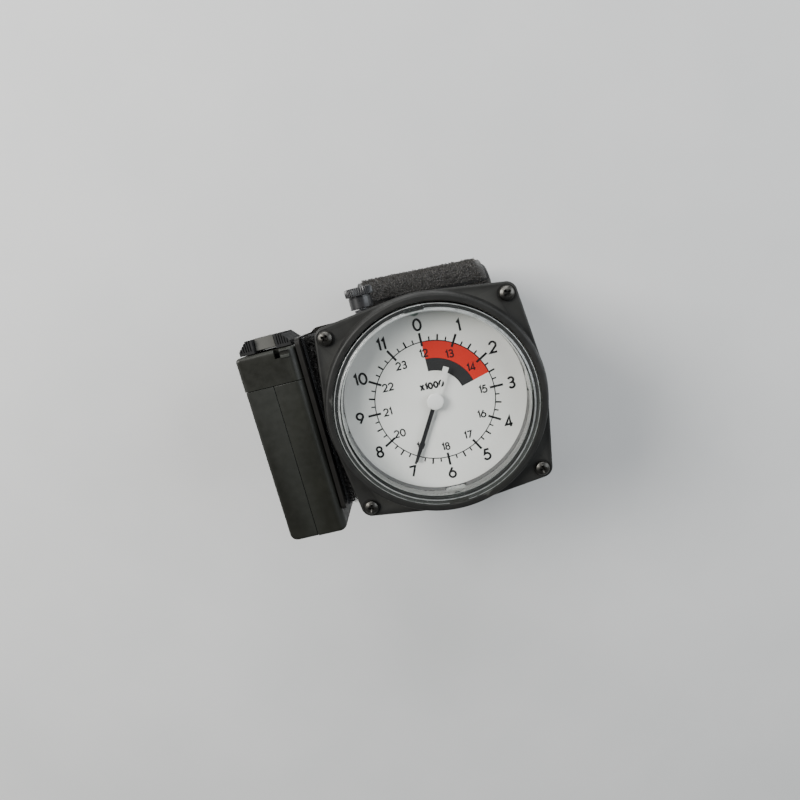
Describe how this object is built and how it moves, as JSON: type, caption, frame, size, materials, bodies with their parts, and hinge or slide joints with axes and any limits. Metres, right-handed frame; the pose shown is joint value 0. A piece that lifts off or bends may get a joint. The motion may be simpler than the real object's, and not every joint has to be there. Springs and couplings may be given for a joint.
{
  "type": "wrist altimeter",
  "caption": "Wrist-worn parachutist's altimeter: round dial under a clear cup, square bezel, setting knob, battery light box at one side, hook-and-loop strap.",
  "frame": {"origin": "on the strap loop's flat underside, straight below the dial's axis", "axes": "+Z out of the dial, +X along the housing's top edge to the right, +Y towards the dial's zero"},
  "size_m": [0.1032, 0.0911, 0.0855],
  "materials": {
    "bezel_plastic": "moulded, fine texture",
    "housing_plastic": "moulded, fine texture",
    "box_plastic": "moulded, satin",
    "cover_plastic": "moulded, satin",
    "black_plastic": "smooth, black",
    "grey_plastic": "matt grey",
    "dial_white": "printed white",
    "hand_black": "matt black paint",
    "hand_white": "matt white paint",
    "clear": "clear, polished",
    "rubber_black": "matt",
    "cloth_black": "hook and loop pile",
    "screw_steel": "black zinc",
    "bright_steel": "ground",
    "movement_brass": "brushed",
    "panel_film": "film",
    "board_green": "lacquered board",
    "battery_skin": "printed sleeve"
  },
  "bodies": {
    "altimeter": {"front_bezel": "bezel_plastic", "housing_body": "housing_plastic", "back_cover": "housing_plastic", "lens": "clear", "dial_spacer": "black_plastic", "lens_seal": "rubber_black", "dial": "dial_white", "light_panel": "panel_film", "knob_bushing": "black_plastic", "battery_case": "box_plastic", "end_cap": "box_plastic", "battery": "battery_skin", "battery_snap": "black_plastic", "switch_guard": "rubber_black", "switch_block": "black_plastic", "inverter_board": "board_green", "bracket": "black_plastic", "side_liner": "cloth_black", "lead": "rubber_black", "grommet": "rubber_black", "strap_band": "cloth_black", "strap_tail": "cloth_black", "wrist_pad": "cloth_black", "bezel_screw_1": "screw_steel", "back_screw_1": "screw_steel", "bezel_screw_2": "screw_steel", "back_screw_2": "screw_steel", "bezel_screw_3": "screw_steel", "back_screw_3": "screw_steel", "bezel_screw_4": "screw_steel", "back_screw_4": "screw_steel", "case_screw_1": "screw_steel", "case_screw_2": "screw_steel"},
    "movement": {"movement_cup": "movement_brass", "movement_bridge": "movement_brass", "bridge_pillar_1": "movement_brass", "bridge_pillar_2": "movement_brass", "bridge_pillar_3": "movement_brass", "bellows": "bright_steel", "bellows_bracket": "movement_brass"},
    "sector": {"sector_gear": "movement_brass"},
    "transfer": {"transfer_gear": "movement_brass"},
    "pointer": {"pointer_arbor": "bright_steel", "pointer_hand": "hand_black", "pointer_tail": "hand_white"},
    "bellows_end": {"bellows_rod": "bright_steel"},
    "knob": {"setting_knob": "black_plastic", "knob_shaft": "bright_steel"},
    "cover": {"battery_cover": "cover_plastic"},
    "switch": {"light_switch": "grey_plastic"}
  },
  "joints": [
    {"name": "altitude_setting", "type": "hinge", "parent": "altimeter", "child": "movement", "pos_m": [0, 0, 0.0595], "axis": [0, 0, 1], "range_deg": [-40, 40]},
    {"name": "sector_turn", "type": "hinge", "parent": "movement", "child": "sector", "pos_m": [-0.00186, -0.008, 0.0603], "axis": [0, 0, 1], "range_deg": [-19.71, 6]},
    {"name": "transfer_turn", "type": "hinge", "parent": "movement", "child": "transfer", "pos_m": [0.012, 0, 0.0635], "axis": [0, 0, 1], "range_deg": [-42, 138]},
    {"name": "pointer_turn", "type": "hinge", "parent": "movement", "child": "pointer", "pos_m": [0, 0, 0.0738], "axis": [0, 0, 1], "range_deg": [-690, 210]},
    {"name": "bellows_travel", "type": "slide", "parent": "movement", "child": "bellows_end", "axis": [1, 0, 0], "range_m": [-0.00207, 0.00063]},
    {"name": "knob_turn", "type": "hinge", "parent": "altimeter", "child": "knob", "pos_m": [-0.0178, 0.042, 0.0645], "axis": [0, 1, 0], "range_deg": [-500, 500]},
    {"name": "cover_slide", "type": "slide", "parent": "altimeter", "child": "cover", "axis": [0, -1, 0], "range_m": [0, 0.06]},
    {"name": "light_switch_rock", "type": "hinge", "parent": "altimeter", "child": "switch", "pos_m": [-0.05335, 0.0328, 0.0675], "axis": [1, 0, 0], "range_deg": [0, 12]}
  ],
  "couplings": [
    {"joint": "pointer_turn", "follows": "sector_turn", "ratio": 35},
    {"joint": "transfer_turn", "follows": "sector_turn", "ratio": -7},
    {"joint": "bellows_travel", "follows": "sector_turn", "m_per_rad": 0.006},
    {"joint": "knob_turn", "follows": "altitude_setting", "ratio": 12.5}
  ]
}
